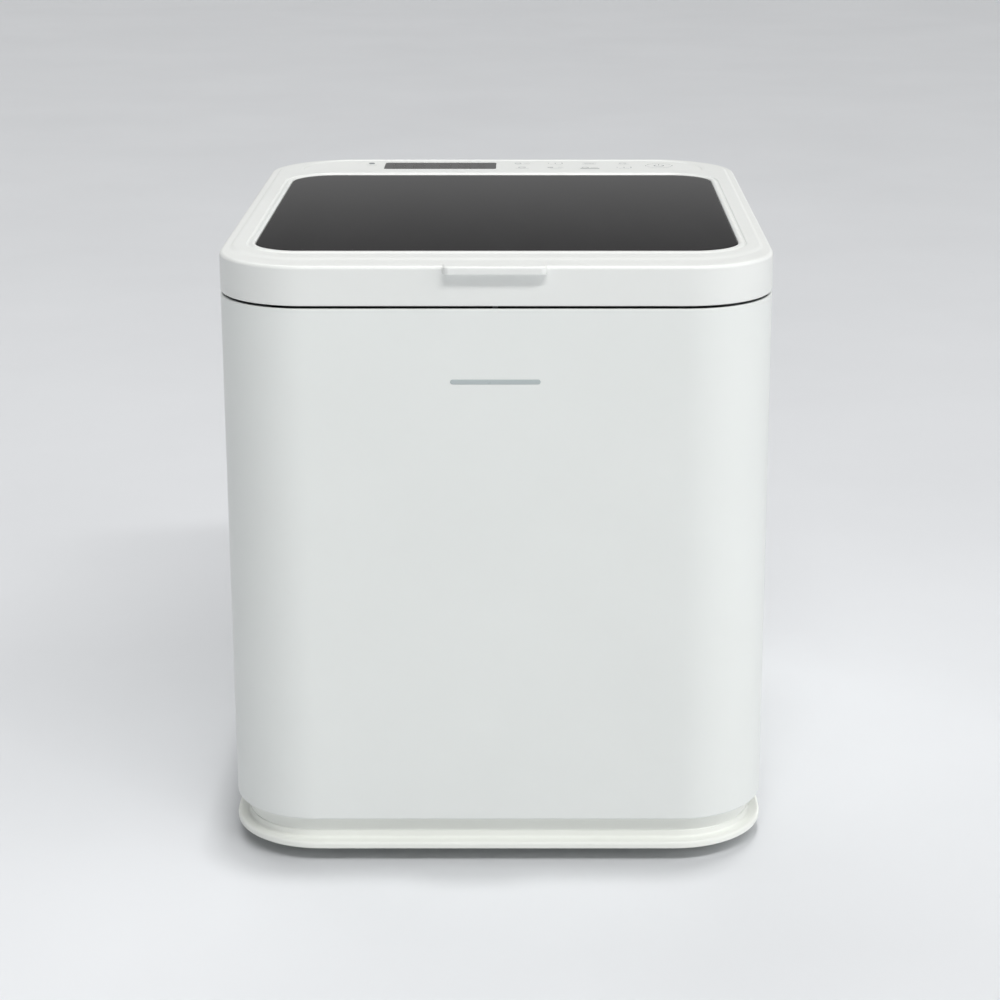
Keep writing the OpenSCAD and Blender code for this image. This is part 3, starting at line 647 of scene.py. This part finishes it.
def annulus(bm, cx, cy, r0, r1, z, a0=0.0, a1=360.0, n=28, h=0.06):
    full = abs(a1 - a0) > 359.9
    k = n if full else n + 1
    rings = []
    for rad, zz in ((r0, z - 0.05), (r1, z - 0.05), (r1, z + h), (r0, z + h)):
        rings.append([bm.verts.new(((cx + rad * math.cos(math.radians(a0 + (a1 - a0) * i / n))) * MM,
                                    (cy + rad * math.sin(math.radians(a0 + (a1 - a0) * i / n))) * MM, zz * MM)) for i in range(k)])
    for q in range(4):
        a, b_ = rings[q], rings[(q + 1) % 4]
        for i in range(k if full else k - 1):
            j = (i + 1) % k
            bm.faces.new((a[i], a[j], b_[j], b_[i]))
    if not full:
        bm.faces.new([r_[0] for r_ in rings])
        bm.faces.new([r_[-1] for r_ in reversed(rings)])


kz = film_z
marks, darks = bmesh.new(), bmesh.new()
cols, rows = (17, 46, 76, 106), (215.5, 192.5)
for ci, x in enumerate(cols):
    for ri, y in enumerate(rows):
        kind = (ci + 3 * ri) % 5
        if kind == 0:
            annulus(marks, x - 4, y + 2, 2.2, 3.1, kz)
            bar(marks, x + 4, y + 2, 6, 1.1, kz)
        elif kind == 1:
            for q in range(3):
                bar(marks, x - 6 + q * 6, y + 2, 1.1, 3.0 + 1.6 * q, kz)
        elif kind == 2:
            bar(marks, x, y + 3.4, 13, 1.1, kz)
            bar(marks, x, y + 0.6, 9, 1.1, kz)
        elif kind == 3:
            annulus(marks, x, y + 2, 2.8, 3.7, kz, 40, 320)
            bar(marks, x + 1.6, y + 2, 3.4, 1.0, kz)
        else:
            bar(marks, x - 4.5, y + 2, 5, 4.2, kz, 0.9)
            bar(marks, x + 4.5, y + 2, 5, 1.1, kz)
        if (ci, ri) == (2, 1):
            bar(darks, x, y - 3.6, 17, 2.6, kz)
        else:
            bar(marks, x, y - 3.4, 12 - 2 * (ci % 2), 1.0, kz)
annulus(marks, 137, 204, 11.0, 11.9, kz, 25, 155)
annulus(marks, 137, 204, 11.0, 11.9, kz, 205, 335)
annulus(darks, 137, 204, 3.6, 4.6, kz, 120, 420)
bar(darks, 137, 208.4, 1.1, 4.2, kz)
for x in (125.5, 148.5):
    bar(marks, x, 204, 1.1, 4.5, kz)
bar(marks, -116, 207.5, 9.0, 1.1, kz)
add("key_marks", marks, "lid", M["print"], (), weighted=False)
add("key_marks_dark", darks, "lid", M["print_dark"], (), weighted=False)

# unlit figures behind the display lens: plain seven-bar digits
segs = bmesh.new()
for q, dx in enumerate((-36, -19, 4, 21)):
    cx, cy = DX + dx, DY
    for sx_, sy_, ww, dd in ((0, 9.2, 8.4, 1.5), (0, 0, 8.4, 1.5), (0, -9.2, 8.4, 1.5),
                             (-5.1, 4.6, 1.5, 7.4), (5.1, 4.6, 1.5, 7.4), (-5.1, -4.6, 1.5, 7.4), (5.1, -4.6, 1.5, 7.4)):
        bar(segs, cx + sx_, cy + sy_, ww, dd, lz - 0.02, n=3)
for sy_ in (-4, 4):
    bar(segs, DX - 7.5, DY + sy_, 1.8, 1.8, lz - 0.02, n=3)
for q in range(3):
    bar(segs, DX + 36, DY - 8 + 8 * q, 7, 2.2, lz - 0.02, n=3)
add("display_figures", segs, "lid", M["lens_off"], (), weighted=False)

# small plain badge bar on the front
bm = bmesh.new()
bz, bw, bh = 371.0, 64.0, 3.4
n = 8
loops = []
for dep, ins in ((0.4, 0.0), (-0.25, 0.0), (-0.45, 0.25), (-0.5, 0.6)):
    pts = []
    r = bh / 2 - ins
    for sx_, a0 in ((1, -90), (-1, 90)):
        for i in range(n + 1):
            a = math.radians(a0 + 180 * i / n)
            pts.append((sx_ * (bw / 2 - bh / 2) + r * math.cos(a), -D / 2 + dep, bz + r * math.sin(a)))
    loops.append(pts)
bm = loft(loops, cap_first=True, cap_last=True)
add("front_badge_bar", bm, "cabinet", M["badge"], (), angle=50)

# ------------------------------------------------------------------ the other CAD nodes, with real rounded edges
NODE_MAT = {
    "rubber_feet": "rubber", "chassis_plate": "zinc", "rear_panel": "grey_panel", "rear_panel_screws": "screw",
    "cord_gland": "black", "chamber_liner": "liner", "liner_standoffs": "zinc", "top_deck": "deck", "deck_screws": "screw",
    "side_posts": "zinc", "lower_bearings": "black", "upper_bearings": "black", "guide_rods": "bright",
    "drive_motor": "motor", "motor_bracket": "zinc", "timing_belt": "rubber", "power_supply": "motor",
    "fan_housing": "black", "filter_duct": "liner", "latch_housing": "black", "cabinet_hinge_leaves": "hinge",
    "hinge_pins": "bright", "hinge_screws": "screw", "lid_hinge_screws": "screw", "lid_bumpers": "gasket",
    "lid_switch": "black", "status_light": "print_dark", "control_board": "pcb", "lid_liner": "lid_liner",
    "lid_gasket": "gasket", "lid_crossbars": "zinc", "press_posts": "bright", "press_plate": "alloy",
    "press_plate_screws": "screw", "lid_striker": "bright", "lid_hinge_leaves": "hinge", "lid_magnet": "magnet",
    "lift_table": "alloy", "lift_nuts": "brass", "waste_bucket": "bucket", "bag_ring": "ring", "bucket_grips": "ring",
    "lift_screw_left": "bright", "screw_pulley_left": "alloy", "lift_screw_right": "bright", "screw_pulley_right": "alloy",
    "motor_shaft": "bright", "motor_pulley": "alloy", "latch_bolt": "bright", "fan_rotor": "black",
    "filter_cartridge": "carbon", "filter_cover": "filter_cover", "finger_lip": "lid"}
BEVEL = {"rear_panel": 0.35, "filter_cover": 0.8, "cord_gland": 0.7, "rubber_feet": 1.0, "waste_bucket": 0.9, "bag_ring": 1.0,
         "bucket_grips": 1.2, "top_deck": 0.5, "chamber_liner": 0.4, "lid_liner": 0.5, "press_plate": 0.7, "cabinet_hinge_leaves": 0.3,
         "lid_hinge_leaves": 0.3, "rear_panel_screws": 0.25, "deck_screws": 0.25, "hinge_screws": 0.3, "lid_hinge_screws": 0.3,
         "fan_rotor": 0.25, "fan_housing": 0.5, "lid_gasket": 1.2, "lid_bumpers": 0.8, "hinge_pins": 0.3, "press_plate_screws": 0.3}
replaced = {n for o in bpy.context.scene.objects for n in list(o.get("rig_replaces", []))}
for n in sorted(NODES):
    if n in replaced:
        continue
    src = NODES[n]
    ob = link(bpy.data.objects.new(n + "_piece", src.data.copy()))
    ob.data.materials.clear()
    ob.data.materials.append(M[NODE_MAT[n]])
    resmooth(ob, 30, bevel=BEVEL.get(n, 0.35) * MM, segs=2, bevel_angle=32, dissolve=True)
    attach(ob, BODY_OF[n]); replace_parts(ob, n)
    w = ob.modifiers.new("weighted_normals", "WEIGHTED_NORMAL"); w.keep_sharp = True

# ------------------------------------------------------------------ stage: floor, light, camera
def floor_mat():
    m, nt, b, vec = new_mat("studio_floor")
    n = noise(nt, vec, 2.2, 4.0, 0.55)
    nt.links.new(ramp(nt, n, 0.3, 0.7, srgb(219, 221, 224), srgb(223, 225, 228)), b.inputs["Base Color"])
    b.inputs["Roughness"].default_value = 0.55
    b.inputs["Specular IOR Level"].default_value = 0.3
    bump(nt, b, noise(nt, vec, 300.0, 2.0, 0.5), 0.04, 0.0004)
    return m


bm = bmesh.new()
bmesh.ops.create_grid(bm, x_segments=8, y_segments=8, size=14.0)
floor = link(bpy.data.objects.new("studio_floor", finish_mesh(bm, "studio_floor")))
floor.data.materials.append(floor_mat())
floor.location.z = -0.0002

world = bpy.data.worlds.new("studio_world")
bpy.context.scene.world = world
world.use_nodes = True
wn = world.node_tree
wbg = wn.nodes["Background"]
WORLD_FRONT, WORLD_REAR, WORLD_HIGH, WORLD_BAND = 0.05, 0.15, 0.2, 0.74
wtc = wn.nodes.new("ShaderNodeTexCoord")
wsep = wn.nodes.new("ShaderNodeSeparateXYZ")
wn.links.new(wtc.outputs["Generated"], wsep.inputs[0])


def world_range(src, lo, hi, a, b_):
    n = wn.nodes.new("ShaderNodeMapRange")
    n.interpolation_type = "SMOOTHSTEP"
    n.inputs["From Min"].default_value, n.inputs["From Max"].default_value = lo, hi
    for sock, v in (("To Min", a), ("To Max", b_)):
        if isinstance(v, float):
            n.inputs[sock].default_value = v
        else:
            wn.links.new(v, n.inputs[sock])
    wn.links.new(src, n.inputs["Value"])
    return n.outputs[0]


# a pale band at the horizon, darker above it, so the floor runs into the backdrop from every side
low = world_range(wsep.outputs["Y"], -0.1, 0.85, float(WORLD_FRONT), float(WORLD_REAR))
above = world_range(wsep.outputs["Z"], 0.26, 0.75, low, float(WORLD_HIGH))
wn.links.new(world_range(wsep.outputs["Z"], 0.12, 0.21, float(WORLD_BAND), above), wbg.inputs["Strength"])
wbg.inputs["Color"].default_value = (0.985, 0.99, 0.99, 1.0)


def area(name, loc, target, size, size_y, power, color=(1, 1, 1)):
    ld = bpy.data.lights.new(name, "AREA")
    ld.shape = "RECTANGLE"
    ld.size, ld.size_y, ld.energy, ld.color = size, size_y, power, color
    o = link(bpy.data.objects.new(name, ld))
    o.location = loc
    o.rotation_euler = (Vector(target) - Vector(loc)).to_track_quat("-Z", "Y").to_euler()
    return o


def soft_sun(name, direction, spread, strength, color=(1, 1, 1)):
    """A far, wide panel: direction points from the object to the light, spread is its width in degrees."""
    ld = bpy.data.lights.new(name, "SUN")
    ld.angle, ld.energy, ld.color = math.radians(spread), strength, color
    o = link(bpy.data.objects.new(name, ld))
    o.rotation_euler = (-Vector(direction)).to_track_quat("-Z", "Y").to_euler()
    return o


LIGHTS = {"key": 172.0, "top": 0.88, "side": 0.92, "back": 0.6}
area("key_strip", (0.9, -3.5, 4.9), (0, -0.24, 0.4), 4.2, 0.42, LIGHTS["key"], (1.0, 0.995, 0.985))
soft_sun("top_panel", (0.04, 0.055, 1.0), 4, LIGHTS["top"], (1.0, 0.995, 0.985))
soft_sun("side_panel", (1.0, -0.35, 0.55), 50, LIGHTS["side"], (1.0, 0.998, 0.99))

soft_sun("back_panel", (-0.25, 0.75, 1.0), 40, LIGHTS["back"], (1.0, 1.0, 1.0))

cam_d = bpy.data.cameras.new("camera")
cam = link(bpy.data.objects.new("camera", cam_d))
bpy.context.scene.camera = cam
cam_d.sensor_width = 36.0
cam_d.sensor_fit = "HORIZONTAL"
CAM_F, CAM_PITCH, CAM_X, CAM_Y, CAM_Z, CAM_SX, CAM_SY = 2341.0, 15.207, 0.02743, -1.8416, 0.7785, -0.03427, -0.08
cam_d.lens = CAM_F * 36.0 / 1000.0
cam_d.shift_x, cam_d.shift_y = CAM_SX, CAM_SY
cam_d.clip_start, cam_d.clip_end = 0.05, 60.0
cam.location = (CAM_X, CAM_Y, CAM_Z)
cam.rotation_euler = (math.radians(90.0 - CAM_PITCH), 0.0, 0.0)
bpy.context.scene.view_settings.view_transform = "Standard"
bpy.context.scene.view_settings.look = "None"
